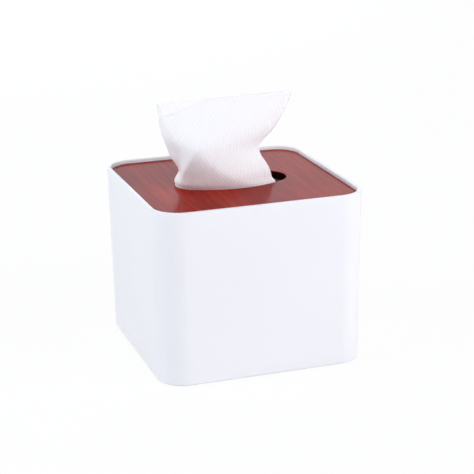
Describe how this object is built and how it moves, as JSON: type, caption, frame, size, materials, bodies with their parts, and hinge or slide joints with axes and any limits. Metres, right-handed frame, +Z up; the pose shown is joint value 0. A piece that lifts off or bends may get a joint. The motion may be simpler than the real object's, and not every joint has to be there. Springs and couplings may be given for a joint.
{
  "type": "tissue box",
  "caption": "Square plastic tissue box with rounded corners, a drop-in wood lid with an oval slot, folded tissues inside and one tissue drawn up through the slot.",
  "frame": {"origin": "on the table, under the middle of the box", "axes": "+Z up, +X to the right along the slot's length, +Y to the rear; the printed front of the real box faces -Y"},
  "size_m": [0.13, 0.13, 0.1588],
  "materials": {
    "housing_plastic": "fine satin",
    "lid_wood": "red-brown straight grain under gloss lacquer",
    "tissue_paper": "soft, embossed with small dots",
    "foot_rubber": "matte"
  },
  "bodies": {
    "box": {"housing": "housing_plastic", "tissue_stack": "tissue_paper", "foot_front_left": "foot_rubber", "foot_front_right": "foot_rubber", "foot_rear_left": "foot_rubber", "foot_rear_right": "foot_rubber"},
    "lid": {"lid": "lid_wood"},
    "tissue": {"tissue_sheet": "tissue_paper"}
  },
  "joints": [
    {"name": "lid_lift", "type": "slide", "parent": "box", "child": "lid", "axis": [0, 0, 1], "range_m": [0, 0.07]},
    {"name": "tissue_pull", "type": "slide", "parent": "lid", "child": "tissue", "axis": [0, 0, 1], "range_m": [0, 0.03]}
  ]
}
